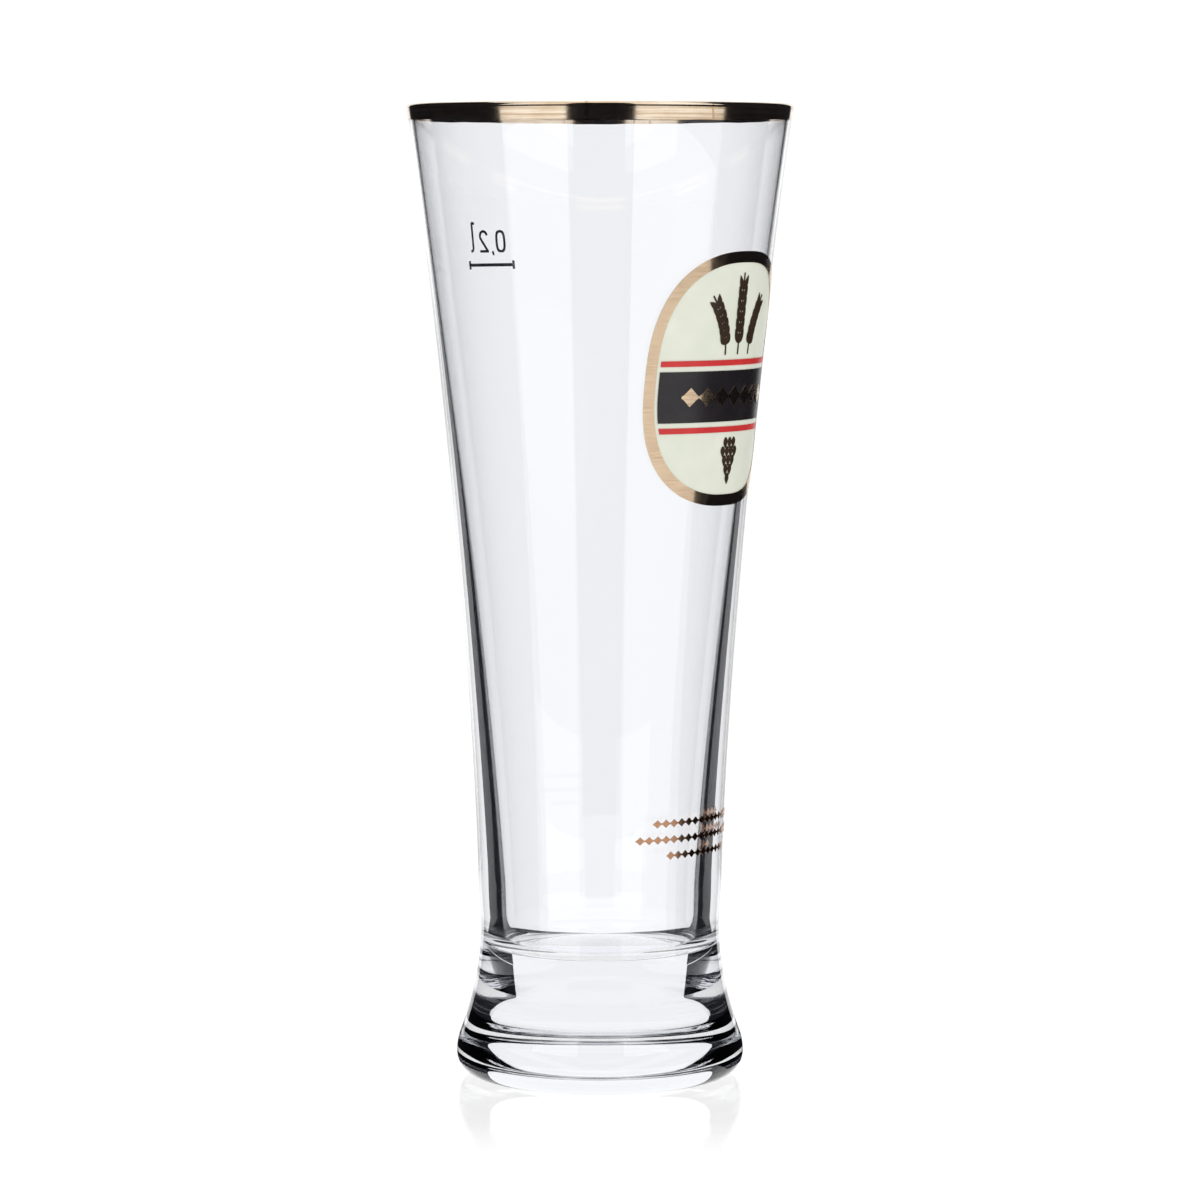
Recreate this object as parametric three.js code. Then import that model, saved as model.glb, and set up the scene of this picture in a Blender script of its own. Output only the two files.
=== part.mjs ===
// Tulip beer glass: clear flared bowl on a heavy solid foot, gilt rim, fired enamel prints.
// Millimetres, +Z up, origin on the table under the axis, the printed badge faces -Y.
import * as THREE from 'three';

// Glass body, outside
const glassHeight = 175.35;
const rimDiameter = 69.25;
const rimFlare = 8.5; // lean of the outer wall at the lip, degrees
const rimReach = 30; // length over which the rim flare fades into the bowl
const bowlBaseDiameter = 44.2;
const bowlBaseFlare = 1.6; // lean of the outer wall at the bowl's base, degrees
const bowlReach = 42; // length over which the bowl stays near its base diameter
const neckHeight = 10; // from the waist up to the bowl's base
const waistHeight = 27.5;
const waistDiameter = 43.2;
const waistReach = 7; // length over which the foot stays near the waist diameter
const footDiameter = 52;
const footFlare = 21; // lean of the foot just above its rounded edge, degrees
const footReach = 6;
const footEdgeRadius = 4.3; // below the widest part
const footShoulderRadius = 10; // above it
const bearingWidth = 2.6; // flat ring that stands on the table
const puntDepth = 1.2; // hollow inside the bearing ring

// Glass body, inside
const rimWall = 1.15;
const innerRimFlare = 7.2;
const innerRimReach = 45;
const baseWall = 4.5;
const innerBaseFlare = 2.4;
const innerBaseReach = 45;
const solidBaseThickness = 25.2; // at the axis, where the inner floor is highest
const floorFall = 18; // slope of the domed inner floor at its edge, degrees
const floorFillet = 3.5;

// Fired films: each print layer stands off the surface below it by a hairline
const film = 0.08;
const filmClearance = 0.04;

// Gilt band over the lip
const giltHeight = 2.4;
const giltInside = 0.8;

// Printed badge
const badgeWidth = 40;
const badgeHeight = 45;
const badgeBelowRim = 48.35; // badge centre
const badgeSquareness = 2.6; // 2 is an ellipse, more fills the corners
const badgeBorder = 2;
const badgeFieldInset = 0.4; // border overhang past the field
const badgeBandHeight = 9;
const badgeBandBelowCentre = 3;
const badgeRuleWidth = 1;
const badgeRuleGap = 0.9; // between the dark band and each red rule
const badgeMargin = 0.6; // between the border and what lies inside it
const bandChainMargin = 4.5; // from the end of the band to its chain
const bandChainWidth = 3.4;
const bandChainLozenges = 7;
const earWidth = 3;
const earGrains = 6;
const earStemLength = 2;
const earStemGap = 3.6; // between the ear stems
const earTipMargin = 1.2; // from the middle ear's tip to the border's margin
const sideEarTipMargin = 2.6;
const sideEarTurn = 58; // direction of a side ear's tip from the badge centre, degrees up
const earAboveRule = 0.9;
const hopWidth = 5.2;
const hopBracts = 5;
const hopBelowRule = 0.9;
const hopTipMargin = 1.2;

// Fill mark on the far side: a line under the measure 0,2 l
const fillAzimuth = 167; // degrees round from the badge
const fillBelowRim = 29.35;
const fillLineLength = 11.7;
const fillLineWidth = 0.6;
const fillTickLength = 1.6;
const fillTickWidth = 0.5;
const fillTickStep = 0.03; // run over which a tick steps down to the line
const fillStroke = 0.48;
const fillFigureHeight = 4.2;
const fillFigureWidth = 2.3;
const fillFigureGap = 0.92;
const fillZeroSquareness = 3;
const fillZeroFromEnd = 2.85; // from the end of the line to the middle of the nought
const fillLetterHeight = 5.6;
const fillLetterHook = 0.7;
const fillLetterSerif = 0.7;
const fillCommaLength = 1;
const fillAboveLine = 2.3;

// Three ornament rows low on the bowl, under the badge
const rowsAboveBowlBase = 7.75; // middle row
const rowSpacing = 2.9;
const rowWidth = 1.5;
const upperRowLength = 24.2;
const middleRowLength = 30.6;
const lowerRowLength = 18.2;
const lozengeLength = 1.7;
const hairline = 0.3;

// Facets
const turnSegments = 60;
const wallSteps = 14;
const shortCurveSteps = 6;
const slightCurveSteps = 3;
const samePoint = 0.001;
const searchStep = 1e-6; // share of the bowl's curve
const fieldStepsAcross = 20;
const fieldStepsUp = 14;
const ringSteps = 96;
const longStripSteps = 16;
const stripFacet = 1.4; // widest facet across a strip of ink

const degrees = THREE.MathUtils.degToRad;
const group = new THREE.Group();

function addPart(name, geometry, colour, roughness, metalness) {
  const material = new THREE.MeshStandardMaterial({ color: colour, roughness, metalness });
  const mesh = new THREE.Mesh(geometry, material);
  mesh.name = name;
  group.add(mesh);
}

// Solid of revolution about the upright axis
const turned = (profile) => new THREE.LatheGeometry(profile, turnSegments).rotateX(Math.PI / 2);

// Profile curves, x is the radius and y the height
const lipRadius = rimWall / 2;
const lipCentre = new THREE.Vector2(rimDiameter / 2 - lipRadius, glassHeight - lipRadius);

// Direction that climbs a wall leaning outwards, and the wall's outward normal
const climb = (lean) => new THREE.Vector2(Math.sin(degrees(lean)), Math.cos(degrees(lean)));
const outward = (lean) => new THREE.Vector2(Math.cos(degrees(lean)), -Math.sin(degrees(lean)));
const along = (point, direction, length) => point.clone().addScaledVector(direction, length);

const bowlBase = new THREE.Vector2(bowlBaseDiameter / 2, waistHeight + neckHeight);
const lipOutside = along(lipCentre, outward(rimFlare), lipRadius);
const bowlCurve = new THREE.CubicBezierCurve(
  bowlBase,
  along(bowlBase, climb(bowlBaseFlare), bowlReach),
  along(lipOutside, climb(rimFlare), -rimReach),
  lipOutside,
);

const waist = new THREE.Vector2(waistDiameter / 2, waistHeight);
const neckCurve = new THREE.CubicBezierCurve(
  waist,
  along(waist, climb(0), neckHeight / 4),
  along(bowlBase, climb(bowlBaseFlare), -neckHeight / 2),
  bowlBase,
);

const footEdgeCentre = new THREE.Vector2(footDiameter / 2 - footEdgeRadius, footEdgeRadius);
const footShoulderCentre = new THREE.Vector2(footDiameter / 2 - footShoulderRadius, footEdgeRadius);
const footSide = along(footShoulderCentre, outward(-footFlare), footShoulderRadius);
const footCurve = new THREE.CubicBezierCurve(
  footSide,
  along(footSide, climb(-footFlare), footReach),
  along(waist, climb(0), -waistReach),
  waist,
);
const footEdge = new THREE.EllipseCurve(
  footEdgeCentre.x,
  footEdgeCentre.y,
  footEdgeRadius,
  footEdgeRadius,
  degrees(-90),
  0,
);
const footShoulder = new THREE.EllipseCurve(
  footShoulderCentre.x,
  footShoulderCentre.y,
  footShoulderRadius,
  footShoulderRadius,
  0,
  degrees(footFlare),
);

// The punt is an arc from the axis down to the bearing ring
const puntRadius = footEdgeCentre.x - bearingWidth;
const puntTop = new THREE.Vector2(0, puntDepth);
const puntCurve = new THREE.QuadraticBezierCurve(
  puntTop,
  new THREE.Vector2(puntRadius / 2, puntDepth),
  new THREE.Vector2(puntRadius, 0),
);

const lipCurve = new THREE.EllipseCurve(
  lipCentre.x,
  lipCentre.y,
  lipRadius,
  lipRadius,
  degrees(-rimFlare),
  degrees(180 - innerRimFlare),
);
const lipInside = along(lipCentre, outward(innerRimFlare), -lipRadius);
const filletX = bowlBaseDiameter / 2 - baseWall - floorFillet;
const domeEdge = filletX - floorFillet * Math.sin(degrees(floorFall));
const domeHeight = domeEdge * Math.tan(degrees(floorFall)) / 2;
const domeFoot = new THREE.Vector2(domeEdge, solidBaseThickness - domeHeight);
const filletCentre = new THREE.Vector2(filletX, domeFoot.y + floorFillet * Math.cos(degrees(floorFall)));
const filletTop = along(filletCentre, outward(innerBaseFlare), floorFillet);
const innerCurve = new THREE.CubicBezierCurve(
  lipInside,
  along(lipInside, climb(innerRimFlare), -innerRimReach),
  along(filletTop, climb(innerBaseFlare), innerBaseReach),
  filletTop,
);
const filletCurve = new THREE.EllipseCurve(
  filletCentre.x,
  filletCentre.y,
  floorFillet,
  floorFillet,
  degrees(-innerBaseFlare),
  degrees(-90 - floorFall),
  true,
);
const domeCurve = new THREE.QuadraticBezierCurve(
  domeFoot,
  new THREE.Vector2(domeEdge / 2, solidBaseThickness),
  new THREE.Vector2(0, solidBaseThickness),
);

// Glass body: one solid of revolution from the punt round the outside and down the inside
const bodyStretches = [
  [puntCurve, slightCurveSteps],
  [footEdge, shortCurveSteps],
  [footShoulder, slightCurveSteps],
  [footCurve, shortCurveSteps],
  [neckCurve, slightCurveSteps],
  [bowlCurve, wallSteps],
  [lipCurve, shortCurveSteps],
  [innerCurve, wallSteps],
  [filletCurve, shortCurveSteps],
  [domeCurve, slightCurveSteps],
];
const bodyProfile = [];
for (const [curve, steps] of bodyStretches) {
  for (const point of curve.getPoints(steps)) {
    const last = bodyProfile.at(-1);
    if (!last || last.distanceTo(point) > samePoint) bodyProfile.push(point);
  }
}
addPart('glass_body', turned(bodyProfile), 0xeef4f2, 0.03, 0);

// Place on the bowl's outer wall: radius and lean at a height
function wallAt(height) {
  let low = 0;
  let high = 1;
  while (high - low > searchStep) {
    const middle = (low + high) / 2;
    if (bowlCurve.getPoint(middle).y < height) low = middle;
    else high = middle;
  }
  const tangent = bowlCurve.getTangent(low);
  return { radius: bowlCurve.getPoint(low).x, lean: Math.atan2(tangent.x, tangent.y) };
}

// Gilt band: a film that follows the wall, the lip and a little of the inside
function giltLine(lift) {
  const lowHeight = lipOutside.y - giltHeight;
  const low = wallAt(lowHeight);
  const inner = along(lipInside, climb(innerRimFlare), -giltInside);
  const lowPoint = new THREE.Vector2(low.radius, lowHeight);
  const points = [along(lowPoint, outward(THREE.MathUtils.radToDeg(low.lean)), lift)];
  for (const point of lipCurve.getPoints(shortCurveSteps)) {
    const normal = point.clone().sub(lipCentre).normalize();
    points.push(along(point, normal, lift));
  }
  points.push(along(inner, outward(innerRimFlare), -lift));
  return points;
}
const giltOuter = giltLine(filmClearance + film);
const giltInner = giltLine(filmClearance).reverse();
const giltProfile = [...giltOuter, ...giltInner, giltOuter[0].clone()];
addPart('gilt_rim_band', turned(giltProfile), 0xd9bf95, 0.22, 1);

// Wraps a print point onto the bowl: across runs along the circle, lift stands off the wall
function onGlass(across, height, lift, azimuth) {
  const { radius, lean } = wallAt(height);
  const angle = degrees(azimuth) + across / radius;
  const reach = radius + lift * Math.cos(lean);
  return [reach * Math.sin(angle), -reach * Math.cos(angle), height - lift * Math.sin(lean)];
}

// Layer 1 lies on the glass, each higher layer on the one below it
const layerLift = (layer) => filmClearance + (layer - 1) * (film + filmClearance);

// Moves every vertex of a unit geometry to the print point that place() gives
function wrap(geometry, layer, azimuth, place) {
  const { position, uv } = geometry.attributes;
  for (let i = 0; i < position.count; i += 1) {
    const unit = new THREE.Vector3().fromBufferAttribute(position, i);
    const mapped = place(unit, new THREE.Vector2().fromBufferAttribute(uv, i));
    const lift = layerLift(layer) + mapped.depth * film;
    position.setXYZ(i, ...onGlass(mapped.across, mapped.height, lift, azimuth));
  }
  geometry.computeVertexNormals();
  return geometry;
}

// Strip of ink along a line of stations, each with its own half width
function inkStrip(stations, layer, azimuth) {
  const last = stations.length - 1;
  const sides = stations.map((station, i) => {
    const before = stations[Math.max(i - 1, 0)].at;
    const after = stations[Math.min(i + 1, last)].at;
    const arriving = station.at.clone().sub(before).normalize();
    const leaving = after.clone().sub(station.at).normalize();
    if (i === 0) arriving.copy(leaving);
    if (i === last) leaving.copy(arriving);
    const side = new THREE.Vector2(-arriving.y - leaving.y, arriving.x + leaving.x);
    return side.divideScalar(1 + arriving.dot(leaving));
  });
  const widest = Math.max(...stations.map((station) => 2 * station.half));
  const unitStrip = new THREE.BoxGeometry(1, 1, 1, last, Math.ceil(widest / stripFacet), 1);
  return wrap(unitStrip, layer, azimuth, (unit) => {
    const i = Math.round((unit.x + 0.5) * last);
    const point = along(stations[i].at, sides[i], 2 * unit.y * stations[i].half);
    return { across: point.x, height: point.y, depth: unit.z + 0.5 };
  });
}

// Sine or cosine of a turn round an oval whose corners are filled out by its squareness
const ovalShare = (share, squareness) => Math.sign(share) * Math.abs(share) ** (2 / squareness);

// Closed ring of ink between two ovals, with a middle row of points across its width
function inkRing(centre, outerHalf, width, squareness, steps, layer, azimuth) {
  const corners = [[1, 0], [1, 1], [0.5, 1], [0, 1], [0, 0], [0.5, 0]];
  const unitRing = new THREE.TorusGeometry(2, 1, corners.length, steps);
  return wrap(unitRing, layer, azimuth, (unit, uv) => {
    const turn = 2 * Math.PI * uv.x;
    const [out, depth] = corners[Math.round(uv.y * corners.length) % corners.length];
    const inset = width * (1 - out);
    return {
      across: centre.x + (outerHalf.x - inset) * ovalShare(Math.cos(turn), squareness),
      height: centre.y + (outerHalf.y - inset) * ovalShare(Math.sin(turn), squareness),
      depth,
    };
  });
}

// Stations along a straight line from one end to the other
function straight(from, to, halves) {
  return halves.map((half, i) => ({ at: from.clone().lerp(to, i / (halves.length - 1)), half }));
}

// Row of lozenges linked at their tips by a hairline
function lozengeRow(middle, length, width, count, layer, azimuth) {
  const halves = [];
  for (let i = 0; i <= 2 * count; i += 1) halves.push(i % 2 ? width / 2 : hairline / 2);
  const reach = new THREE.Vector2(length / 2, 0);
  const stations = straight(middle.clone().sub(reach), middle.clone().add(reach), halves);
  return inkStrip(stations, layer, azimuth);
}

// Badge: gold border over a cream oval, dark band with red rules, ears above, hop below
const badgeCentre = new THREE.Vector2(0, glassHeight - badgeBelowRim);
const badgeHalf = new THREE.Vector2(badgeWidth / 2, badgeHeight / 2);
const fieldHalf = badgeHalf.clone().subScalar(badgeFieldInset);
const insideHalf = badgeHalf.clone().subScalar(badgeBorder + badgeMargin);
const insideWidthAt = (height) => {
  const rise = Math.abs(height - badgeCentre.y) / insideHalf.y;
  return insideHalf.x * (1 - rise ** badgeSquareness) ** (1 / badgeSquareness);
};

// Narrows one side of a square so that the square fills the badge's oval
const squeeze = (other) => (1 - Math.abs(other) ** badgeSquareness / 2) ** (1 / badgeSquareness);

const fieldBox = new THREE.BoxGeometry(2, 2, 1, fieldStepsAcross, fieldStepsUp, 1);
const badgeField = wrap(fieldBox, 1, 0, (unit) => ({
  across: badgeCentre.x + fieldHalf.x * unit.x * squeeze(unit.y),
  height: badgeCentre.y + fieldHalf.y * unit.y * squeeze(unit.x),
  depth: unit.z + 0.5,
}));
addPart('badge_field', badgeField, 0xe6ead6, 0.35, 0);

const badgeRing = inkRing(badgeCentre, badgeHalf, badgeBorder, badgeSquareness, ringSteps, 2, 0);
addPart('badge_border', badgeRing, 0xb8945a, 0.35, 1);

const bandMiddle = badgeCentre.y - badgeBandBelowCentre;
const bandBox = new THREE.BoxGeometry(2, 1, 1, fieldStepsAcross, 2, 1);
const badgeBand = wrap(bandBox, 2, 0, (unit) => {
  const height = bandMiddle + unit.y * badgeBandHeight;
  return { across: unit.x * insideWidthAt(height), height, depth: unit.z + 0.5 };
});
addPart('badge_band', badgeBand, 0x17151a, 0.3, 0);

const ruleOffset = badgeBandHeight / 2 + badgeRuleGap + badgeRuleWidth / 2;
for (const [name, side] of [['badge_upper_rule', 1], ['badge_lower_rule', -1]]) {
  const height = bandMiddle + side * ruleOffset;
  const reach = insideWidthAt(height + side * badgeRuleWidth / 2);
  const halves = Array.from({ length: longStripSteps + 1 }, () => badgeRuleWidth / 2);
  const rule = straight(new THREE.Vector2(-reach, height), new THREE.Vector2(reach, height), halves);
  addPart(name, inkStrip(rule, 2, 0), 0xa81f24, 0.3, 0);
}

const chainMiddle = new THREE.Vector2(badgeCentre.x, bandMiddle);
const chainLength = 2 * (insideWidthAt(bandMiddle) - bandChainMargin);
const bandChain = lozengeRow(chainMiddle, chainLength, bandChainWidth, bandChainLozenges, 3, 0);
addPart('badge_band_chain', bandChain, 0xb8945a, 0.35, 1);

// Barley ear: a stem, then grains that swell and close in pairs towards the tip
const earFoot = bandMiddle + ruleOffset + badgeRuleWidth / 2 + earAboveRule;
function barleyEar(side, tipMargin) {
  const turn = degrees(90 - side * (90 - sideEarTurn));
  const foot = new THREE.Vector2(badgeCentre.x + side * earStemGap, earFoot);
  const tip = new THREE.Vector2(
    badgeCentre.x + (insideHalf.x - tipMargin) * Math.cos(turn),
    badgeCentre.y + (insideHalf.y - tipMargin) * Math.sin(turn),
  );
  const bend = new THREE.Vector2(foot.x, (foot.y + tip.y) / 2);
  const spine = new THREE.QuadraticBezierCurve(foot, bend, tip);
  const stemShare = earStemLength / spine.getLength();
  const stations = [{ at: foot, half: hairline / 2 }];
  const grainShape = [hairline / earWidth, 0.8, 1, 0.7];
  for (let grain = 0; grain < earGrains; grain += 1) {
    const taper = 1 - (grain / earGrains) ** 2 / 2;
    grainShape.forEach((share, step) => {
      const done = (grain + step / grainShape.length) / earGrains;
      const at = spine.getPoint(stemShare + (1 - stemShare) * done);
      stations.push({ at, half: share * taper * earWidth / 2 });
    });
  }
  stations.push({ at: tip, half: hairline / 2 });
  return inkStrip(stations, 2, 0);
}
addPart('badge_left_ear', barleyEar(-1, sideEarTipMargin), 0x3a2a1c, 0.35, 0);
addPart('badge_middle_ear', barleyEar(0, earTipMargin), 0x3a2a1c, 0.35, 0);
addPart('badge_right_ear', barleyEar(1, sideEarTipMargin), 0x3a2a1c, 0.35, 0);

// Hop cone: bracts that overlap downwards to a point
const hopTop = bandMiddle - ruleOffset - badgeRuleWidth / 2 - hopBelowRule;
const hopLength = hopTop - (badgeCentre.y - insideHalf.y) - hopTipMargin;
const hopStations = [];
for (let step = 0; step <= 2 * hopBracts; step += 1) {
  const done = step / (2 * hopBracts);
  const swell = Math.sin(Math.PI * (0.25 + 0.75 * done));
  const edge = step % 2 ? 1 : 0.7;
  const at = new THREE.Vector2(badgeCentre.x, hopTop - done * hopLength);
  hopStations.push({ at, half: Math.max(hairline / 2, swell * edge * hopWidth / 2) });
}
addPart('badge_hop_cone', inkStrip(hopStations, 2, 0), 0x3a2a1c, 0.35, 0);

// Fill mark: figures sit on a baseline above the line, read from outside
const fillInk = 0x15161f;
const fillLineHeight = glassHeight - fillBelowRim;
const tickHalf = fillTickLength / 2;
const lineHalf = fillLineWidth / 2;
const lineEnd = fillLineLength / 2;
const tickInner = lineEnd - fillTickWidth;
const fillLineStations = [
  [-lineEnd, tickHalf],
  [-tickInner, tickHalf],
  [-tickInner + fillTickStep, lineHalf],
  [-tickInner / 3, lineHalf],
  [tickInner / 3, lineHalf],
  [tickInner - fillTickStep, lineHalf],
  [tickInner, tickHalf],
  [lineEnd, tickHalf],
].map(([x, half]) => ({ at: new THREE.Vector2(x, fillLineHeight), half }));
addPart('fill_line', inkStrip(fillLineStations, 1, fillAzimuth), fillInk, 0.4, 0);

const baseline = fillLineHeight + fillAboveLine;
const strokeHalf = fillStroke / 2;
const figureHalf = new THREE.Vector2(fillFigureWidth / 2, fillFigureHeight / 2);
const figurePitch = fillFigureWidth + fillFigureGap;
const zeroCentre = new THREE.Vector2(fillZeroFromEnd - lineEnd, baseline + figureHalf.y);
const figureZero = inkRing(
  zeroCentre,
  figureHalf,
  fillStroke,
  fillZeroSquareness,
  longStripSteps,
  1,
  fillAzimuth,
);
addPart('fill_zero', figureZero, fillInk, 0.4, 0);

const inkLine = (points) => points.map(([x, y]) => ({ at: new THREE.Vector2(x, y), half: strokeHalf }));
const commaX = zeroCentre.x + figureHalf.x + fillFigureGap;
const commaPoints = [[commaX, baseline + strokeHalf], [commaX - strokeHalf, baseline - fillCommaLength / 2]];
addPart('fill_comma', inkStrip(inkLine(commaPoints), 1, fillAzimuth), fillInk, 0.4, 0);

// Figure two: a hook over the top, a diagonal and a foot
const twoLeft = commaX + fillFigureGap;
const hookRadius = figureHalf.x - strokeHalf;
const hookCentre = new THREE.Vector2(
  twoLeft + figureHalf.x,
  baseline + fillFigureHeight - strokeHalf - hookRadius,
);
const hook = new THREE.EllipseCurve(
  hookCentre.x,
  hookCentre.y,
  hookRadius,
  hookRadius,
  degrees(170),
  degrees(-30),
  true,
);
const twoPoints = hook.getPoints(shortCurveSteps).map((point) => [point.x, point.y]);
twoPoints.push([twoLeft + strokeHalf, baseline + strokeHalf]);
twoPoints.push([twoLeft + fillFigureWidth, baseline + strokeHalf]);
addPart('fill_two', inkStrip(inkLine(twoPoints), 1, fillAzimuth), fillInk, 0.4, 0);

// Litre sign: a tall stroke with a serif at its top and a small hook at its foot
const litreX = twoLeft + figurePitch + fillFigureGap;
const litreFoot = new THREE.EllipseCurve(
  litreX + fillLetterHook,
  baseline + fillLetterHook + strokeHalf,
  fillLetterHook,
  fillLetterHook,
  degrees(180),
  degrees(270),
);
const litrePoints = litreFoot.getPoints(slightCurveSteps).map((point) => [point.x, point.y]);
const litreTop = baseline + fillLetterHeight;
litrePoints.unshift([litreX - fillLetterSerif, litreTop - strokeHalf], [litreX, litreTop]);
addPart('fill_litre', inkStrip(inkLine(litrePoints), 1, fillAzimuth), fillInk, 0.4, 0);

// Ornament rows, centred under the badge
const rowMiddle = bowlBase.y + rowsAboveBowlBase;
const rows = [
  ['print_row_upper', rowMiddle + rowSpacing, upperRowLength],
  ['print_row_middle', rowMiddle, middleRowLength],
  ['print_row_lower', rowMiddle - rowSpacing, lowerRowLength],
];
for (const [name, height, length] of rows) {
  const count = Math.round(length / lozengeLength);
  const middle = new THREE.Vector2(badgeCentre.x, height);
  addPart(name, lozengeRow(middle, length, rowWidth, count, 1, 0), 0x7a5c36, 0.35, 1);
}

export default group;
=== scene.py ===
import bpy
import math
import numpy as np
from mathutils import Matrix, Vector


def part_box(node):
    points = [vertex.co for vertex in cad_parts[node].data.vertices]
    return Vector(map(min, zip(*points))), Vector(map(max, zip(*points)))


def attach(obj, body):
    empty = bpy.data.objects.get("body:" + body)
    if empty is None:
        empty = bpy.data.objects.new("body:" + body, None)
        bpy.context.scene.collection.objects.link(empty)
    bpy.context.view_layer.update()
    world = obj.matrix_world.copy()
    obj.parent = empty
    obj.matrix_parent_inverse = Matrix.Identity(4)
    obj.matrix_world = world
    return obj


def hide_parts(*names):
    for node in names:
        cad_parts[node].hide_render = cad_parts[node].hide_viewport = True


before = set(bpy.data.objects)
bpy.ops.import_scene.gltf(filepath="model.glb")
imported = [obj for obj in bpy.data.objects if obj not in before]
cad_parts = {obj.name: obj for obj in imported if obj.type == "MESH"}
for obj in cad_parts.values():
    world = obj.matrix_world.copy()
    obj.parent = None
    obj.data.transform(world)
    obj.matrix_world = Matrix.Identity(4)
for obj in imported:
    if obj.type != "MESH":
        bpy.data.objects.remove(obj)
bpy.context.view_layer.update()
mm = 0.001  # sizes below are millimetres, meshes are metres

# The glass body: outside from the foot up, inside from the lip down
bodyLow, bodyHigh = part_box("glass_body")
glass = dict(
    height=(bodyHigh[2] - bodyLow[2]) / mm, rimDiameter=(bodyHigh[0] - bodyLow[0]) / mm,
    rimFlare=8.5, rimReach=30.0,
    bowlBaseDiameter=44.2, bowlBaseFlare=1.6, bowlReach=42.0, neckHeight=10.0,
    waistHeight=27.5, waistDiameter=43.2, waistReach=7.0,
    footDiameter=52.0, footFlare=21.0, footReach=6.0, footEdge=4.3, footShoulder=10.0,
    bearing=2.6, puntDepth=1.2,
    rimWall=1.15, innerRimFlare=7.2, innerRimReach=45.0,
    baseWall=4.5, innerBaseFlare=2.4, innerBaseReach=45.0,
    baseThickness=25.2, floorFall=18.0, floorFillet=3.5,
    wave=0.05, turns=240)  # wave is the unevenness of the blown inner wall


def climb(lean):  # unit step up a wall that leans outwards by some degrees
    return np.array([math.sin(math.radians(lean)), math.cos(math.radians(lean))])


def outward(lean):  # that wall's normal
    return np.array([math.cos(math.radians(lean)), -math.sin(math.radians(lean))])


def bezier(a, b, c, d, count):  # cubic curve from a to d, pulled towards b and c
    t = np.linspace(0, 1, count)[:, None]
    return (1 - t) ** 3 * a + 3 * (1 - t) ** 2 * t * b + 3 * (1 - t) * t ** 2 * c + t ** 3 * d


def arc(centre, radius, start, stop, count):  # part of a circle, angles in degrees
    a = np.radians(np.linspace(start, stop, count))[:, None]
    return centre + radius * np.concatenate([np.cos(a), np.sin(a)], axis=1)


lipRadius = glass["rimWall"] / 2
lipCentre = np.array([glass["rimDiameter"] / 2 - lipRadius, glass["height"] - lipRadius])
lipOutside = lipCentre + lipRadius * outward(glass["rimFlare"])
lipInside = lipCentre - lipRadius * outward(glass["innerRimFlare"])
waist = np.array([glass["waistDiameter"] / 2, glass["waistHeight"]])
bowlBase = np.array([glass["bowlBaseDiameter"] / 2, glass["waistHeight"] + glass["neckHeight"]])
bowlPull = (bowlBase + glass["bowlReach"] * climb(glass["bowlBaseFlare"]),
            lipOutside - glass["rimReach"] * climb(glass["rimFlare"]))


def bowlLine(count):
    return bezier(bowlBase, *bowlPull, lipOutside, count)


def innerLine(count):  # down the wall, round the fillet, then a domed floor (a parabola) to the axis
    fall = math.radians(glass["floorFall"])
    filletX = glass["bowlBaseDiameter"] / 2 - glass["baseWall"] - glass["floorFillet"]
    domeEdge = filletX - glass["floorFillet"] * math.sin(fall)
    domeHeight = domeEdge * math.tan(fall) / 2
    filletCentre = np.array([filletX, glass["baseThickness"] - domeHeight + glass["floorFillet"] * math.cos(fall)])
    filletTop = filletCentre + glass["floorFillet"] * outward(glass["innerBaseFlare"])
    wall = bezier(lipInside, lipInside - glass["innerRimReach"] * climb(glass["innerRimFlare"]),
                  filletTop + glass["innerBaseReach"] * climb(glass["innerBaseFlare"]), filletTop, count)
    fillet = arc(filletCentre, glass["floorFillet"], -glass["innerBaseFlare"], -90 - glass["floorFall"], count // 4)
    reach = np.linspace(domeEdge, 0, count // 4)
    dome = np.stack([reach, glass["baseThickness"] - domeHeight * (reach / domeEdge) ** 2], axis=1)
    return np.concatenate([wall, fillet[1:], dome[1:]])


def footLine():
    edgeCentre = np.array([glass["footDiameter"] / 2 - glass["footEdge"], glass["footEdge"]])
    shoulderCentre = np.array([glass["footDiameter"] / 2 - glass["footShoulder"], glass["footEdge"]])
    side = shoulderCentre + glass["footShoulder"] * outward(-glass["footFlare"])
    puntRadius = edgeCentre[0] - glass["bearing"]
    t = np.linspace(0, 1, 18)  # the punt is a parabola that meets the bearing ring
    punt = np.stack([puntRadius * t, glass["puntDepth"] * (1 - t ** 2)], axis=1)
    edge = arc(edgeCentre, glass["footEdge"], -90, 0, 24)
    shoulder = arc(shoulderCentre, glass["footShoulder"], 0, glass["footFlare"], 12)
    flare = bezier(side, side + glass["footReach"] * climb(-glass["footFlare"]),
                   waist - glass["waistReach"] * climb(0), waist, 40)
    neck = bezier(waist, waist + glass["neckHeight"] / 4 * climb(0),
                  bowlBase - glass["neckHeight"] / 2 * climb(glass["bowlBaseFlare"]), bowlBase, 20)
    return np.concatenate([punt, edge, shoulder[1:], flare[1:], neck[1:]])


def gridQuads(rows, cols, closeRows=False, closeCols=False):  # faces of a grid, wound to face along cols x rows
    r = np.arange(rows if closeRows else rows - 1)[:, None]
    c = np.arange(cols if closeCols else cols - 1)[None, :]
    up, right = (r + 1) % rows, (c + 1) % cols
    return np.stack([r * cols + c, r * cols + right, up * cols + right, up * cols + c], axis=-1).reshape(-1, 4)


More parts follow.
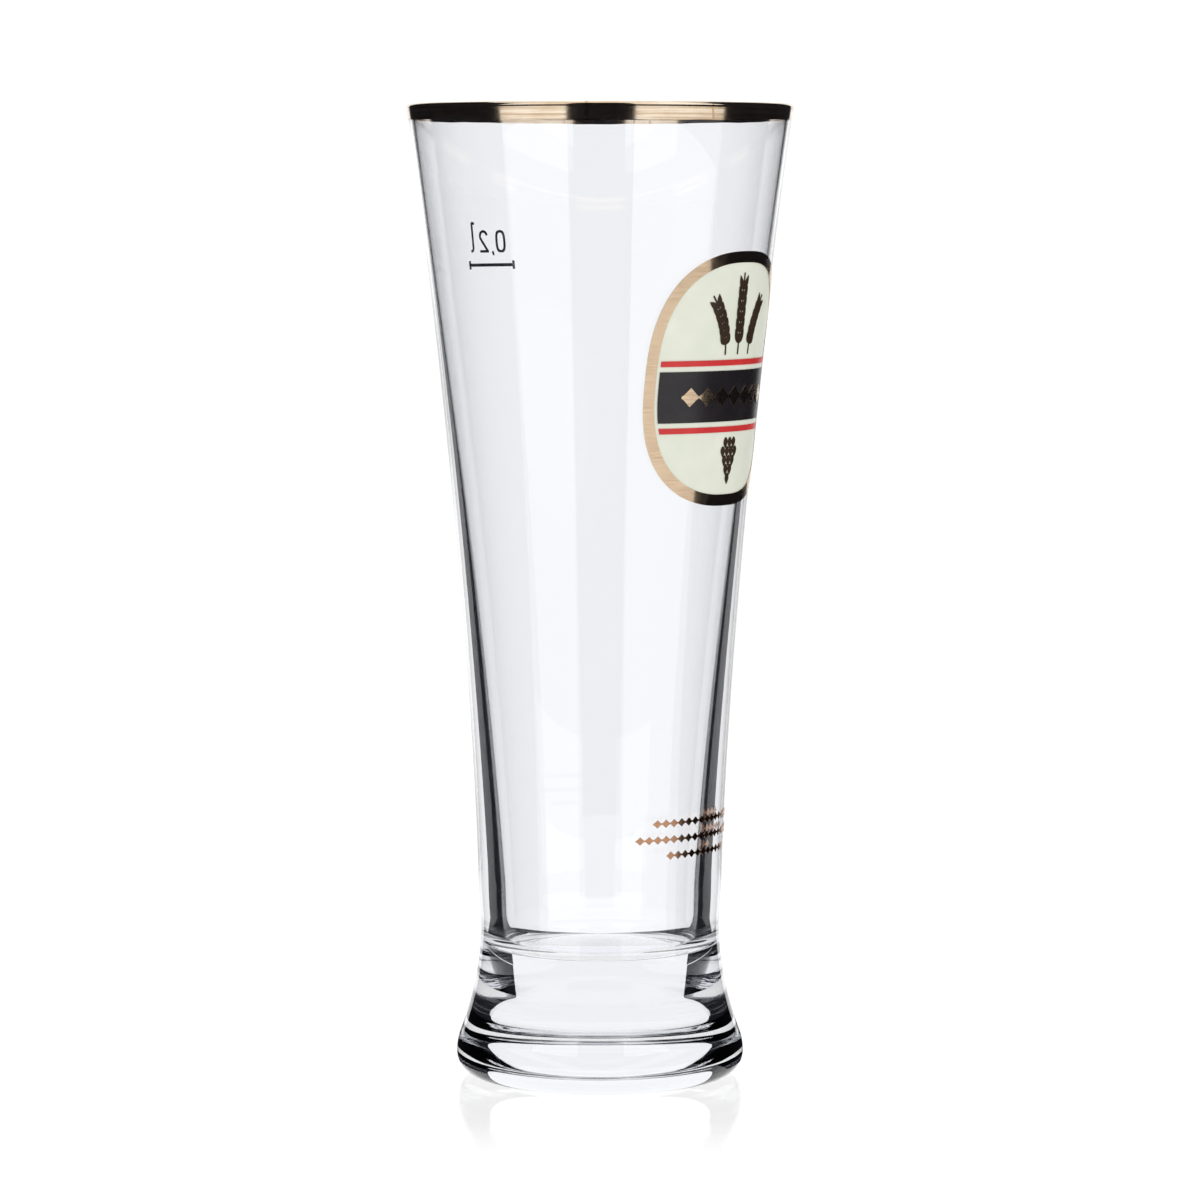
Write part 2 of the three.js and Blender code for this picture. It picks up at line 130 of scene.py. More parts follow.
def putMesh(name, points, faces, uv=None, sharp=None):  # points in millimetres
    mesh = bpy.data.meshes.new(name)
    mesh.from_pydata((np.asarray(points) * mm).tolist(), [], [list(map(int, face)) for face in faces])
    mesh.polygons.foreach_set("use_smooth", np.ones(len(mesh.polygons), dtype=bool))
    if sharp:
        mesh.set_sharp_from_angle(angle=math.radians(sharp))
    if uv is not None:
        index = np.empty(len(mesh.loops), dtype=np.int32)
        mesh.loops.foreach_get("vertex_index", index)
        layer = mesh.uv_layers.new(name="print")
        layer.data.foreach_set("uv", np.asarray(uv, dtype=np.float32)[index].ravel())
    mesh.update()
    piece = bpy.data.objects.new(name, mesh)
    bpy.context.scene.collection.objects.link(piece)
    return piece


def dress(piece, look, slot, *nodes):  # every piece rides on the one body and stands for its solids
    piece.data.materials.append(look)
    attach(piece, "root")
    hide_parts(*nodes)
    return piece


films = dict(thickness=0.079, clearance=0.04, backShift=1000.0)  # fired layers on the glass


class Wire:  # a shader socket that can stand in a sum; each operator adds one Math node
    def __init__(self, look, socket):
        self.look, self.socket = look, socket

    def math(self, operation, first, second):
        return self.look.node("ShaderNodeMath", dict(operation=operation), {0: first, 1: second})

    def __add__(self, other):
        return self.math("ADD", self, other)

    def __rsub__(self, other):
        return self.math("SUBTRACT", other, self)

    def __mul__(self, other):
        return self.math("MULTIPLY", self, other)

    def below(self, limit):  # 1 under the limit, else 0
        return self.math("LESS_THAN", self, limit)

    __radd__, __rmul__ = __add__, __mul__


class Look:  # one material and the nodes that make it
    def __init__(self, name):
        self.material = bpy.data.materials.new(name)
        self.material.use_nodes = True
        self.tree = self.material.node_tree
        self.tree.nodes.clear()

    def node(self, kind, settings, sockets, out=0):
        made = self.tree.nodes.new(kind)
        for key, value in settings.items():
            if key == "stops":
                ramp = made.color_ramp
                while len(ramp.elements) < len(value):
                    ramp.elements.new(0.5)
                for element, (place, colour) in zip(ramp.elements, value):
                    element.position, element.color = place, (*colour, 1)
            else:
                setattr(made, key, value)
        for key, value in sockets.items():
            if isinstance(value, Wire):
                self.tree.links.new(value.socket, made.inputs[key])
            else:
                made.inputs[key].default_value = value
        return Wire(self, made.outputs[out]) if len(made.outputs) else None  # the output node has none

    def place(self, scale, source="Object"):  # coordinates of the piece, stretched
        found = self.node("ShaderNodeTexCoord", {}, {}, out=source)
        return self.node("ShaderNodeMapping", {}, {"Vector": found, "Scale": scale})

    def noise(self, scale, detail=2.0, source="Object"):
        sockets = {"Vector": self.place(scale, source), "Scale": 1.0, "Detail": detail}
        return self.node("ShaderNodeTexNoise", {}, sockets)

    def ramp(self, value, low, high):  # 0 below low, 1 above high
        settings = dict(stops=[(low, (0, 0, 0)), (high, (1, 1, 1))])
        return self.node("ShaderNodeValToRGB", settings, {"Fac": value})

    def mix(self, factor, first, second):
        settings = dict(data_type="RGBA", clamp_factor=True)
        first, second = (c if isinstance(c, Wire) else (*c, 1) for c in (first, second))
        return self.node("ShaderNodeMix", settings, {0: factor, 6: first, 7: second}, out=2)

    def bump(self, height, strength, distance):
        sockets = {"Height": height, "Strength": strength, "Distance": distance}
        return self.node("ShaderNodeBump", {}, sockets)

    def finish(self, **sockets):
        named = {key.replace("_", " "): value for key, value in sockets.items()}
        shader = self.node("ShaderNodeBsdfPrincipled", {}, named)
        self.node("ShaderNodeOutputMaterial", {}, {"Surface": shader})
        return self.material


def clearGlass():  # faint smears from wiping and the slow ripple of a blown wall
    look = Look("clearGlass")
    ripple = look.noise((45, 45, 18), 1.0)
    smear = look.ramp(look.noise((160, 160, 40), 4.0), 0.55, 0.8)
    height = look.node("ShaderNodeSeparateXYZ", {}, {0: look.place((1, 1, 1))}, out="Z")
    chill = look.noise((330, 330, 520), 2.0) * (1.0 - look.ramp(height, 0.020, 0.034))  # pressed foot, less even
    shader = look.node("ShaderNodeBsdfPrincipled", {}, {
        "Base Color": (0.981, 0.986, 1.0, 1), "Roughness": smear * 0.006, "IOR": 1.52, "Transmission Weight": 1.0,
        "Normal": look.bump(ripple + chill * 0.12, 0.04, 0.0006)})
    depth = look.node("ShaderNodeVolumeAbsorption", {}, {"Color": (0.948, 0.953, 0.965, 1), "Density": 38.0})
    look.node("ShaderNodeOutputMaterial", {}, {"Surface": shader, "Volume": depth})
    return look.material


def giltFilm():  # burnished gold with fine streaks round the lip, thin where the brush lifted
    look = Look("giltFilm")
    streak = look.noise((40, 40, 2600), 4.0)
    patch = look.noise((220, 220, 500), 3.0)
    scratch = look.ramp(look.noise((700, 700, 60), 2.0), 0.70, 0.74)
    worn = look.ramp(streak * 0.75 + patch * 0.25, 0.42, 0.64) + scratch
    return look.finish(
        Base_Color=look.mix(worn, (0.95, 0.82, 0.65), (0.60, 0.42, 0.26)), Metallic=1.0,
        Roughness=0.05 + streak * 0.12, Normal=look.bump(streak, 0.1, 0.00002))


def printedGold(name, light, dark, roughness, meshPitch):  # gold ink laid through a fine screen
    look = Look(name)
    screen = look.place((meshPitch, meshPitch, 1), "UV")
    weave = look.node("ShaderNodeTexChecker", {}, {"Vector": screen, "Scale": 1.0}, out="Fac")
    cloud = look.noise((260, 260, 260), 4.0)
    brushed = look.ramp(look.noise((0.22, 6.5, 1), 3.0, "UV"), 0.38, 0.66)
    return look.finish(
        Base_Color=look.mix(cloud * 0.2 + weave * 0.2 + brushed * 0.7, light, dark), Metallic=1.0,
        Roughness=roughness + weave * 0.05 + cloud * 0.06,
        Normal=look.bump(weave * 0.6 + cloud * 0.4, 0.15, 0.00003))


# Ground glass melted on, with a slight orange peel; back is the pair of colours of an undercoat
def firedEnamel(name, colour, shade, roughness, back=None):
    look = Look(name)
    peel = look.noise((1500, 1500, 1500), 3.0)
    cloud = look.noise((180, 180, 180), 4.0)
    height = look.node("ShaderNodeSeparateXYZ", {}, {0: look.place((1, 1, 1), "UV")}, out="Y")
    mottle = look.ramp(cloud, 0.3, 0.7)
    front, rear = (look.mix(mottle, *pair) for pair in ((colour, shade), back or (colour, shade)))
    return look.finish(
        Base_Color=look.mix(height.below(-films["backShift"] / 2), front, rear),
        Roughness=roughness + peel * 0.15, IOR=1.5, Normal=look.bump(peel, 0.12, 0.00003))


looks = dict(
    glass=clearGlass(), gilt=giltFilm(),
    badgeGold=printedGold("badgeGold", (0.86, 0.68, 0.49), (0.54, 0.37, 0.23), 0.06, 5.0),
    rowGold=printedGold("rowGold", (0.58, 0.33, 0.20), (0.44, 0.23, 0.13), 0.12, 6.0),
    cream=firedEnamel("creamEnamel", (0.78, 0.80, 0.69), (0.72, 0.75, 0.63), 0.3,
                      back=((0.235, 0.228, 0.215), (0.17, 0.166, 0.158))),
    dark=firedEnamel("darkEnamel", (0.012, 0.010, 0.013), (0.020, 0.016, 0.018), 0.22),
    red=firedEnamel("redEnamel", (0.68, 0.030, 0.030), (0.56, 0.022, 0.024), 0.25),
    brown=firedEnamel("brownEnamel", (0.050, 0.028, 0.014), (0.036, 0.020, 0.010), 0.3),
    mark=firedEnamel("markEnamel", (0.010, 0.011, 0.020), (0.016, 0.016, 0.028), 0.45))
print("looks:", ", ".join(looks))


def glassBody():  # profile (radius, height) carried round the axis; the inner wall wanders by a few hundredths
    lip = arc(lipCentre, lipRadius, -glass["rimFlare"], 180 - glass["innerRimFlare"], 18)
    outer = np.concatenate([footLine(), bowlLine(90)[1:], lip[1:]])
    inner = innerLine(110)[1:]
    profile = np.concatenate([outer, inner])
    isInner = np.arange(len(profile)) >= len(outer)
    turn = np.linspace(0, 2 * np.pi, glass["turns"], endpoint=False)[None, :]
    radius, height = profile[1:-1, :1], profile[1:-1, 1:]
    share = np.clip((height - glass["baseThickness"]) / (glass["height"] - glass["baseThickness"]), 0, 1)
    window = isInner[1:-1, None] * np.sin(np.pi * share) ** 0.7
    wander = 0.6 * np.sin(2 * turn + 0.7 + height / 60) + 0.4 * np.sin(3 * turn + height / 17)
    reach = radius + glass["wave"] * window * wander
    ring = np.stack([reach * np.sin(turn), -reach * np.cos(turn), height + 0 * turn], axis=-1)
    rows, cols = ring.shape[:2]
    points = np.concatenate([ring.reshape(-1, 3), [[0, 0, profile[0, 1]], [0, 0, profile[-1, 1]]]])
    around = np.arange(cols)
    onward = (around + 1) % cols
    last = (rows - 1) * cols
    bottom = np.stack([np.full(cols, rows * cols), onward, around], axis=1)
    top = np.stack([last + around, last + onward, np.full(cols, rows * cols + 1)], axis=1)
    faces = gridQuads(rows, cols, closeCols=True).tolist() + bottom.tolist() + top.tolist()
    return putMesh("clearGlassBody", points, faces)


bodyPiece = dress(glassBody(), looks["glass"], "glass", "glass_body")
bodyPiece.visible_shadow = bodyPiece.visible_diffuse = False  # light passes through to the table under the foot
print("glass body done")

# Prints are drawn on the bowl's outer wall
wallTable = bowlLine(2000)
wallLean = np.arctan2(np.gradient(wallTable[:, 0]), np.gradient(wallTable[:, 1]))

gilt = dict(height=2.4, inside=0.8, waver=0.12, tilt=0.34, highSide=124.5, turns=240)


def giltBand():  # offset of the lip line, from a wavering lower edge up the wall and over the lip
    turn = np.linspace(0, 2 * np.pi, gilt["turns"], endpoint=False)
    waver = gilt["waver"] * (0.5 * np.sin(5 * turn) + 0.3 * np.sin(13 * turn + 1) + 0.2 * np.sin(31 * turn + 2))
    tilt = gilt["tilt"] * (1 + np.cos(turn - math.radians(gilt["highSide"])))  # narrower where the brush rose
    low = lipOutside[1] - gilt["height"] + waver + tilt
    share = np.linspace(0, 1, 10)[:, None]
    height = low[None, :] * (1 - share) + lipOutside[1] * share
    radius = np.interp(height, wallTable[:, 1], wallTable[:, 0])
    lean = np.interp(height, wallTable[:, 1], wallLean)
    lip = arc(lipCentre, lipRadius, -glass["rimFlare"], 180 - glass["innerRimFlare"], 18)[1:]
    inside = lipInside - gilt["inside"] * np.linspace(0, 1, 4)[1:, None] * climb(glass["innerRimFlare"])
    lines = []
    for lift in (films["clearance"] + films["thickness"], films["clearance"]):
        lipLine = lipCentre + (lip - lipCentre) * (1 + lift / lipRadius)
        overLip = np.concatenate([lipLine, inside - lift * outward(glass["innerRimFlare"])])
        rim = np.ones_like(turn)
        r = np.concatenate([radius + lift * np.cos(lean), overLip[:, :1] * rim])
        z = np.concatenate([height - lift * np.sin(lean), overLip[:, 1:] * rim])
        lines.append(np.stack([r * np.sin(turn), -r * np.cos(turn), z], axis=-1))
    ring = np.concatenate([lines[0], lines[1][::-1]])
    faces = gridQuads(*ring.shape[:2], closeRows=True, closeCols=True)
    return putMesh("giltLipBand", ring.reshape(-1, 3), faces, sharp=50)


dress(giltBand(), looks["gilt"], "gilt", "gilt_rim_band")
print("gilt band done")


def onBowl(across, height, lift, azimuth):  # print point to space: across runs round the wall, lift stands off it
    radius = np.interp(height, wallTable[:, 1], wallTable[:, 0])
    lean = np.interp(height, wallTable[:, 1], wallLean)
    turn = math.radians(azimuth) + across / radius
    reach = radius + lift * np.cos(lean)
    return np.stack([reach * np.sin(turn), -reach * np.cos(turn), height - lift * np.sin(lean)], axis=-1)


def edgeWall(edge, size):  # closes a film along one edge, from its front to its back
    a, b = edge[:-1], edge[1:]
    return np.stack([a, b, b + size, a + size], axis=1)


def filmPiece(name, sheets, layer, azimuth, ring=False):  # grids of (across, height), each made a thin closed solid
    lift = films["clearance"] + (layer - 1) * (films["clearance"] + films["thickness"])
    points, faces, uv, start = [], [], [], 0
    for across, height in sheets:
        rows, cols = across.shape
        front = onBowl(across, height, lift + films["thickness"], azimuth).reshape(-1, 3)
        back = onBowl(across, height, lift, azimuth).reshape(-1, 3)
        face = gridQuads(rows, cols, closeCols=ring)
        size = rows * cols
        grid = np.arange(size).reshape(rows, cols)
        step = np.concatenate([grid, grid[:, :1]], axis=1) if ring else grid
        sides = [edgeWall(step[0][::-1], size), edgeWall(step[-1], size)]
        if not ring:
            sides += [edgeWall(grid[:, 0], size), edgeWall(grid[::-1, -1], size)]
        for part in [face, face[:, ::-1] + size, *sides]:
            faces += (part + start).tolist()
        points += [front, back]
        flat = np.stack([across.ravel(), height.ravel()], axis=1)
        uv += [flat, flat - films["backShift"]]  # the side on the glass is found again by its shifted place
        start += 2 * size
    return putMesh(name, np.concatenate(points), faces, np.concatenate(uv), sharp=50)


def strip(path, half, across=3):  # a line of points with a half width at each, as a grid
    path, half = np.asarray(path, float), np.asarray(half, float)[:, None]
    forward = np.gradient(path, axis=0)
    forward /= np.linalg.norm(forward, axis=1)[:, None]
    side = np.stack([-forward[:, 1], forward[:, 0]], axis=1)
    spread = np.linspace(-1, 1, across)[:, None, None]
    grid = path[None] + spread * (side * half)[None]
    return grid[..., 0], grid[..., 1]


def ovalRing(centre, half, width, squareness, steps, across=5):  # outer oval first; above 2 its corners fill out
    turn = np.linspace(0, 2 * np.pi, steps, endpoint=False)[None, :]
    inset = np.linspace(0, width, across)[:, None]
    x, y = (np.sign(share) * np.abs(share) ** (2 / squareness) for share in (np.cos(turn), np.sin(turn)))
    return centre[0] + (half[0] - inset) * x, centre[1] + (half[1] - inset) * y


def leaf(foot, tip, width, steps=14):  # lens shape from foot to tip, fullest before the middle
    t = np.linspace(0, 1, steps)
    path = np.asarray(foot) + t[:, None] * (np.asarray(tip) - np.asarray(foot))
    return strip(path, 0.012 + width / 2 * np.sin(np.pi * t ** 0.8))


def lozenges(middle, length, width, count, hairline):  # diamonds linked by a hairline
    t = np.linspace(0, 1, 8 * count + 1)
    saw = 1 - np.abs(2 * ((t * count) % 1) - 1)
    path = np.stack([middle[0] + (t - 0.5) * length, np.full_like(t, middle[1])], axis=1)
    return strip(path, np.maximum(hairline, width * saw) / 2)


badge = dict(
    centre=(0.0, glass["height"] - 48.35), half=(20.0, 22.5), squareness=2.6, border=2.0, inset=0.4, margin=0.6,
    bandHeight=9.0, bandBelow=3.0, ruleWidth=1.0, ruleGap=0.9, chainMargin=4.5, chainWidth=3.4, chainCount=7,
    earWidth=3.0, earStem=2.0, earGap=3.6, earTip=1.2, sideTip=2.6, sideTurn=58.0, earAbove=0.9,
    grains=6, grainReach=1.35, grainSpread=0.42, grainWidth=0.36, grainRoot=0.75,  # shares of pitch, ear and hairline
    hopWidth=5.2, hopTip=1.2, hopBelow=0.9, bracts=(3, 4, 3, 2, 1), bractStep=0.19, bractLength=0.24,
    bractWidth=0.86, bractTaper=0.92, hairline=0.3)
badgeCentre, badgeHalf = np.array(badge["centre"]), np.array(badge["half"])
insideHalf = badgeHalf - badge["border"] - badge["margin"]
bandMiddle = badgeCentre[1] - badge["bandBelow"]
ruleOffset = badge["bandHeight"] / 2 + badge["ruleGap"] + badge["ruleWidth"] / 2
earFoot = bandMiddle + ruleOffset + badge["ruleWidth"] / 2 + badge["earAbove"]
hopTop = bandMiddle - ruleOffset - badge["ruleWidth"] / 2 - badge["hopBelow"]


def insideWidth(height):
    rise = np.abs(height - badgeCentre[1]) / insideHalf[1]
    return insideHalf[0] * (1 - rise ** badge["squareness"]) ** (1 / badge["squareness"])


def badgeField():  # square grid pressed into an oval
    x, y = np.meshgrid(np.linspace(-1, 1, 56), np.linspace(-1, 1, 48))
    half, power = badgeHalf - badge["inset"], badge["squareness"]
    narrow, lower = ((1 - np.abs(other) ** power / 2) ** (1 / power) for other in (y, x))
    return half[0] * x * narrow, badgeCentre[1] + half[1] * y * lower


def badgeBar(middle, thick):  # bar across the oval, cut to its curve
    height = middle + thick * np.linspace(-0.5, 0.5, 9)[:, None] + np.zeros((1, 48))
    return np.linspace(-1, 1, 48)[None, :] * insideWidth(height), height


def barleyEar(side, tipMargin):  # paired grains up a bent stalk
    turn = math.radians(90 - side * (90 - badge["sideTurn"]))
    foot = np.array([side * badge["earGap"], earFoot])
    tip = badgeCentre + (insideHalf - tipMargin) * np.array([math.cos(turn), math.sin(turn)])
    bend = np.array([foot[0], (foot[1] + tip[1]) / 2])
    t = np.linspace(0, 1, 40)[:, None]
    stalk = (1 - t) ** 2 * foot + 2 * (1 - t) * t * bend + t ** 2 * tip
    length = np.linalg.norm(np.diff(stalk, axis=0), axis=1).sum()
    sheets = [strip(stalk, np.full(40, badge["hairline"] / 2))]
    pitch = (1 - badge["earStem"] / length) / (badge["grains"] + 0.6)
    for grain in range(badge["grains"]):
        done = badge["earStem"] / length + pitch * grain
        at = np.array([np.interp(done, t[:, 0], stalk[:, k]) for k in (0, 1)])
        on = np.array([np.interp(done + pitch, t[:, 0], stalk[:, k]) for k in (0, 1)]) - at
        across = np.array([on[1], -on[0]])
        across /= np.linalg.norm(across)
        for hand in (-1, 1):
            root = at + hand * across * badge["hairline"] * badge["grainRoot"]
            end = at + on * badge["grainReach"] + hand * across * badge["earWidth"] * badge["grainSpread"]
            sheets.append(leaf(root, end, badge["earWidth"] * badge["grainWidth"]))
    return sheets


def hopCone():  # staggered rows of bracts that narrow to a point
    length = hopTop - (badgeCentre[1] - insideHalf[1]) - badge["hopTip"]
    pitch = badge["hopWidth"] / max(badge["bracts"])
    sheets = []
    for row, count in enumerate(badge["bracts"]):
        top = hopTop - row * length * badge["bractStep"]
        for place in range(count):
            x = (place - (count - 1) / 2) * pitch
            tip = (x * badge["bractTaper"], top - length * badge["bractLength"])
            sheets.append(leaf((x, top), tip, pitch * badge["bractWidth"]))
    return sheets


chainLength = 2 * (float(insideWidth(bandMiddle)) - badge["chainMargin"])
chain = lozenges((0.0, bandMiddle), chainLength, badge["chainWidth"], badge["chainCount"], badge["hairline"])
border = ovalRing(badgeCentre, badgeHalf, badge["border"], badge["squareness"], 256)
dress(filmPiece("badgeField", [badgeField()], 1, 0), looks["cream"], "cream_enamel", "badge_field")
dress(filmPiece("badgeBorder", [border], 2, 0, ring=True), looks["badgeGold"], "badge_gold", "badge_border")
dress(filmPiece("badgeBand", [badgeBar(bandMiddle, badge["bandHeight"])], 2, 0),
      looks["dark"], "dark_enamel", "badge_band")
dress(filmPiece("badgeUpperRule", [badgeBar(bandMiddle + ruleOffset, badge["ruleWidth"])], 2, 0),
      looks["red"], "red_enamel", "badge_upper_rule")
dress(filmPiece("badgeLowerRule", [badgeBar(bandMiddle - ruleOffset, badge["ruleWidth"])], 2, 0),
      looks["red"], "red_enamel", "badge_lower_rule")
dress(filmPiece("badgeBandChain", [chain], 3, 0), looks["badgeGold"], "badge_gold", "badge_band_chain")
for earName, earNode, earSide, earMargin in (("badgeLeftEar", "badge_left_ear", -1, badge["sideTip"]),
                                             ("badgeMiddleEar", "badge_middle_ear", 0, badge["earTip"]),
                                             ("badgeRightEar", "badge_right_ear", 1, badge["sideTip"])):
    dress(filmPiece(earName, barleyEar(earSide, earMargin), 2, 0), looks["brown"], "brown_enamel", earNode)
dress(filmPiece("badgeHopCone", hopCone(), 2, 0), looks["brown"], "brown_enamel", "badge_hop_cone")
print("badge done")

fill = dict(
    azimuth=167.0, below=29.35, lineLength=11.7, lineWidth=0.6, tickLength=1.6, tickWidth=0.5,
    tickStep=0.02, stroke=0.48,
    figure=(2.3, 4.2), gap=0.92, zeroFromEnd=2.85, zeroSquareness=3.0, letter=5.6, hook=0.7, serif=0.7,
    comma=1.0, above=2.3)


def fillMark():  # the line, then 0 , 2 l above it from left to right
    line = glass["height"] - fill["below"]
    base, pen = line + fill["above"], fill["stroke"] / 2
    wide, tall = fill["figure"]
    end, tick = fill["lineLength"] / 2, fill["lineLength"] / 2 - fill["tickWidth"]
    between = tick - fill["tickStep"]
    x = np.concatenate([np.linspace(-end, -tick, 3), np.linspace(-between, between, 24), np.linspace(tick, end, 3)])
    half = np.where(np.abs(x) > between + fill["tickStep"] / 2, fill["tickLength"], fill["lineWidth"]) / 2
    marks = {"fill_line": [strip(np.stack([x, np.full_like(x, line)], axis=1), half)]}
    zero = np.array([fill["zeroFromEnd"] - end, base + tall / 2])
    marks["fill_zero"] = [ovalRing(zero, (wide / 2, tall / 2), fill["stroke"], fill["zeroSquareness"], 64, 3)]
    comma = zero[0] + wide / 2 + fill["gap"]
    drop = np.linspace((comma, base + pen), (comma - pen, base - fill["comma"] / 2), 6)
    marks["fill_comma"] = [strip(drop, np.linspace(pen, pen * 0.6, 6))]
    left = comma + fill["gap"]
    bow = wide / 2 - pen
    top = arc(np.array([left + wide / 2, base + tall - pen - bow]), bow, 170, -30, 26)
    slope = np.linspace(top[-1], (left + pen, base + pen), 14)
    foot = np.linspace((left + pen * 0.2, base + pen), (left + wide, base + pen), 10)
    marks["fill_two"] = [strip(np.concatenate([top, slope[1:]]), np.full(39, pen)), strip(foot, np.full(10, pen))]
    stem = left + wide + 2 * fill["gap"]
    hook = arc(np.array([stem + fill["hook"], base + fill["hook"] + pen]), fill["hook"], 180, 270, 10)
    shaft = np.linspace((stem, base + fill["letter"]), (stem, base + fill["hook"] + pen), 16)
    serif = np.linspace((stem - fill["serif"], base + fill["letter"] - pen), (stem, base + fill["letter"]), 6)
    marks["fill_litre"] = [strip(np.concatenate([shaft[:-1], hook]), np.full(25, pen)), strip(serif, np.full(6, pen))]
    return marks


for node, sheets in fillMark().items():
    name = "mark" + node.split("_")[1].capitalize()
    dress(filmPiece(name, sheets, 1, fill["azimuth"], ring=node == "fill_zero"), looks["mark"], "mark_enamel", node)
print("fill mark done")

rows = dict(middle=bowlBase[1] + 7.75, spacing=2.9, width=1.5, lozenge=1.7, hairline=0.3,
            lengths=dict(upper=(1, 24.2), middle=(0, 30.6), lower=(-1, 18.2)))
for rowName, (level, length) in rows["lengths"].items():
    row = lozenges((0.0, rows["middle"] + level * rows["spacing"]), length, rows["width"],
                   round(length / rows["lozenge"]), rows["hairline"])
    dress(filmPiece(rowName + "Row", [row], 1, 0), looks["rowGold"], "row_gold", "print_row_" + rowName)
print("ornament rows done")

# Camera at the photograph's place: left of the badge, just under the lip, tipped down
shot = dict(azimuth=-55.5, distance=864.0, height=161.0, pitch=4.94, lens=144.0, sensor=36.0)
around = math.radians(shot["azimuth"])
cameraData = bpy.data.cameras.new("photoCamera")
cameraData.lens, cameraData.sensor_width = shot["lens"], shot["sensor"]
camera = bpy.data.objects.new("photoCamera", cameraData)
away = shot["distance"] * mm
camera.location = (math.sin(around) * away, -math.cos(around) * away, shot["height"] * mm)
camera.rotation_euler = (math.radians(90 - shot["pitch"]), 0, around)
bpy.context.scene.collection.objects.link(camera)
bpy.context.scene.camera = camera
bpy.context.view_layer.update()

# White studio: black cloth that only gloss and glass see hangs round the line of sight, and lies beside the foot
studio = dict(
    radius=170.0, low=0.5, sunk=-60.0, high=420.0, right=(33.5, 108.0), left=(-33.5, -124.0), front=(161.0, 198.0),
    room=(55.0, 305.0), roomRadius=900.0, skirt=27.0, apron=55.0, skirtTurn=39.9, slat=0.6, slatRise=0.9, slatLean=45.0,
    white=1.06, floorSize=40000.0, gloss=(0.05, 0.085), glow=0.085)


def column(*values):
    return np.array(values)[:, None]


def sweptCloth(name, start, stop, radius, height, step=1):  # rows of (radius, height) carried from bearing to bearing
    bearing = np.radians(start + np.linspace(0, 1, 48) * (stop - start))  # counted from straight behind the glass
    points = np.stack([radius * np.sin(bearing), radius * np.cos(bearing), height + 0 * bearing], axis=-1)
    faces = gridQuads(len(radius), 48).reshape(-1, 47, 4)[::step].reshape(-1, 4)
    return putMesh(name, points.reshape(-1, 3), faces if (stop > 0) == (step == 1) else faces[:, ::-1])


def straightEdge(side, radius):  # bearing at which a straight edge, turned off the sight line, crosses a radius
    lead = studio["radius"] * math.sin(math.radians(studio["skirtTurn"] - abs(studio[side][0])))
    return math.copysign(1, studio[side][0]) * (studio["skirtTurn"] - np.degrees(np.arcsin(lead / radius)))


def layOut(side):  # flat apron by the foot, then fine slats that lean outwards and look dark only along the table
    stop = studio[side][1]
    near, far = (np.linspace(*span, 36)[:, None] for span in ((studio["skirt"], studio["apron"]),
                                                              (studio["apron"], studio["radius"])))
    level = np.full_like(near, studio["low"])
    apron = sweptCloth(side + "Apron", straightEdge(side, near), stop, near, level)
    skirt = sweptCloth(side + "Skirt", straightEdge(side, far), stop, far, level)
    skirt.visible_transmission = False
    inner = np.repeat(np.arange(studio["apron"], studio["radius"], studio["slat"]), 2)[:, None]
    lean = np.resize([0, studio["slatRise"] / math.tan(math.radians(studio["slatLean"]))], inner.shape)
    rise = np.resize([studio["slatRise"], 0], inner.shape)
    slats = sweptCloth(side + "Slats", straightEdge(side, inner), stop, inner + lean, studio["low"] + rise, step=2)
    slats.visible_glossy = False
    return [apron, skirt, slats]


cloth = Look("blackCloth")
nap = cloth.mix(cloth.noise((40, 40, 40), 3.0), (0.008, 0.008, 0.011), (0.014, 0.014, 0.018))
black = cloth.node("ShaderNodeBsdfPrincipled", {}, {"Base Color": nap, "Roughness": 1.0, "Specular IOR Level": 0.0})
behind = cloth.node("ShaderNodeNewGeometry", {}, {}, out="Backfacing")  # the cloth isn't seen from its back
clear = cloth.node("ShaderNodeBsdfTransparent", {}, {})
oneSided = cloth.node("ShaderNodeMixShader", {}, {0: behind, 1: black, 2: clear})
cloth.node("ShaderNodeOutputMaterial", {}, {"Surface": oneSided})
wallHeight = column(studio["sunk"], studio["high"])
cards = [sweptCloth(side + "Card", *studio[side], column(studio["radius"], studio["radius"]), wallHeight)
         for side in ("right", "left", "front")]
cards.append(sweptCloth("darkRoom", *studio["room"], column(studio["roomRadius"], studio["roomRadius"]), wallHeight))
cards += layOut("right") + layOut("left")
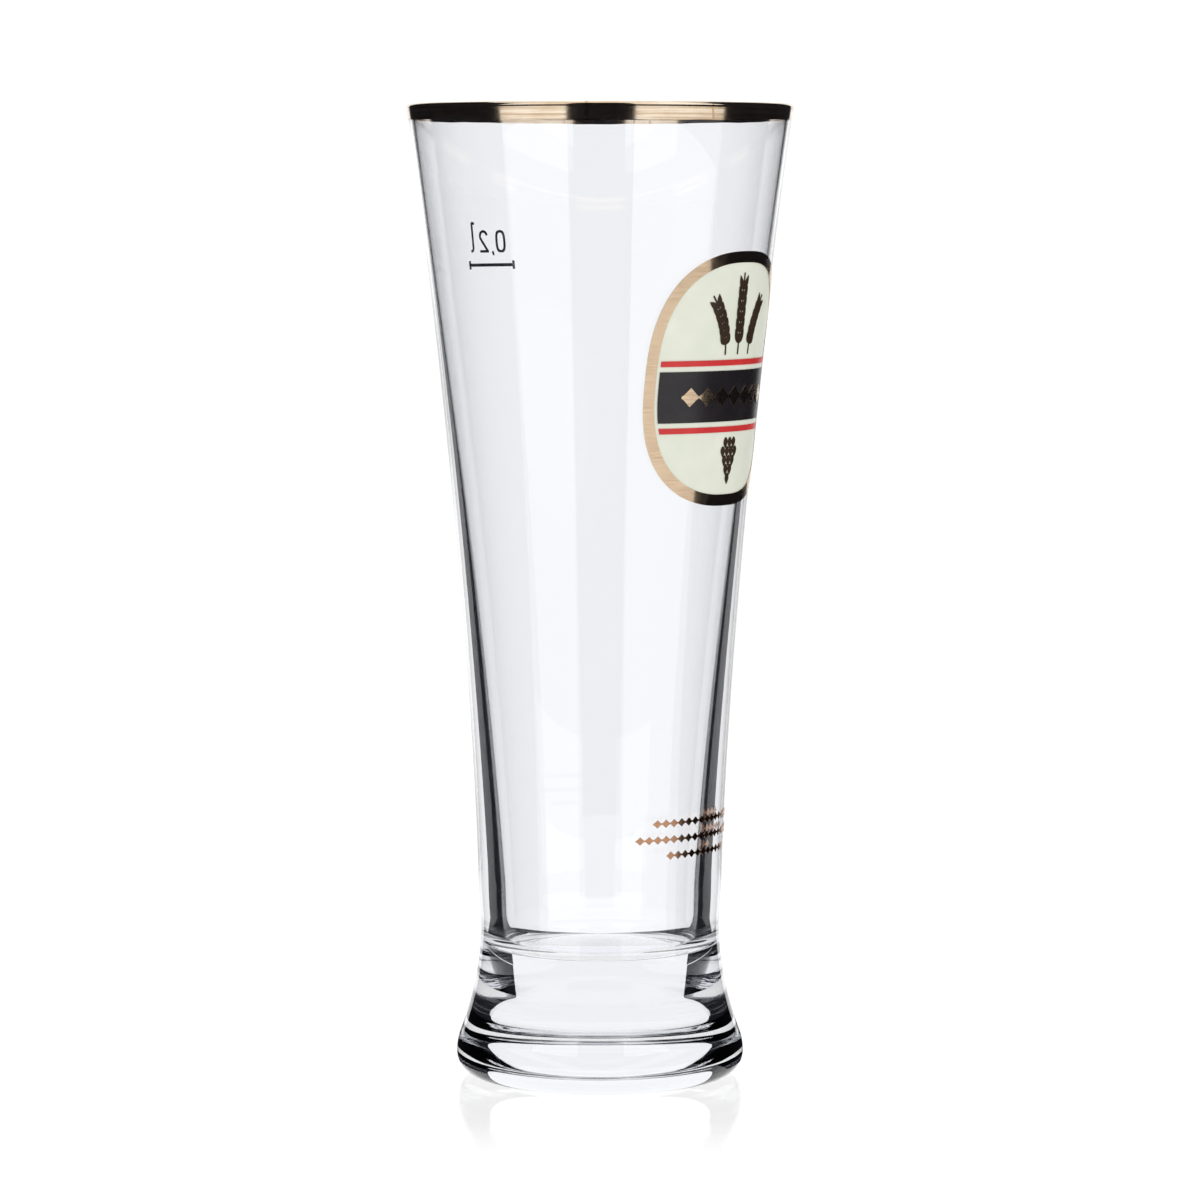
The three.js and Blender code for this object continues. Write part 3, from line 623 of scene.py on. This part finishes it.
for card in cards:
    card.data.materials.append(cloth.material)
    follow = card.constraints.new("COPY_ROTATION")  # the rig turns with the camera, as on a turntable
    follow.target, follow.use_x, follow.use_y = camera, False, False
    card.visible_camera = card.visible_diffuse = card.visible_shadow = False

floorX, floorY = np.meshgrid(np.linspace(-0.5, 0.5, 12), np.linspace(-0.5, 0.5, 12))
floorGrid = np.stack([floorX * studio["floorSize"], floorY * studio["floorSize"], 0 * floorX], axis=-1)
tableTop = putMesh("whiteTable", floorGrid.reshape(-1, 3), gridQuads(12, 12))


def whiteTable():  # matt white with a painted shade under the foot, and a sheen only round the foot
    look = Look("whiteTable")
    speckle = look.noise((300, 300, 300), 3.0)
    reach = look.node("ShaderNodeVectorMath", dict(operation="LENGTH"), {0: look.place((1, 1, 1))}, out="Value")
    bare = look.mix(speckle, (0.90, 0.90, 0.90), (0.93, 0.93, 0.93))
    colour = look.mix(look.ramp(reach, 0.019, 0.0215), (0.79, 0.785, 0.77), bare)  # painted shade: the table's colour is darker in a disc under the foot
    glow = {"Base Color": colour, "Emission Color": (1, 1, 1, 1), "Emission Strength": studio["glow"]}
    matt = look.node("ShaderNodeBsdfPrincipled", {}, {**glow, "Roughness": 0.9, "Specular IOR Level": 0.0})
    polish = {"Roughness": 0.06 + speckle * 0.04, "Specular IOR Level": 0.25}
    sheen = look.node("ShaderNodeBsdfPrincipled", {}, {**glow, **polish})
    faded = 0.35 + look.ramp(reach, *studio["gloss"]) * 0.65
    mixed = look.node("ShaderNodeMixShader", {}, {0: faded, 1: sheen, 2: matt})
    look.node("ShaderNodeOutputMaterial", {}, {"Surface": mixed})
    return look.material


tableTop.data.materials.append(whiteTable())

world = bpy.data.worlds.new("whiteStudio")
world.use_nodes = True
world.node_tree.nodes["Background"].inputs["Color"].default_value = (1, 1, 1, 1)
world.node_tree.nodes["Background"].inputs["Strength"].default_value = studio["white"]
bpy.context.scene.world = world
bpy.context.scene.view_settings.view_transform = "Standard"
bpy.context.scene.cycles.max_bounces = 32
bpy.context.scene.cycles.transmission_bounces = 32
bpy.context.scene.cycles.glossy_bounces = 16
print("camera and studio done")
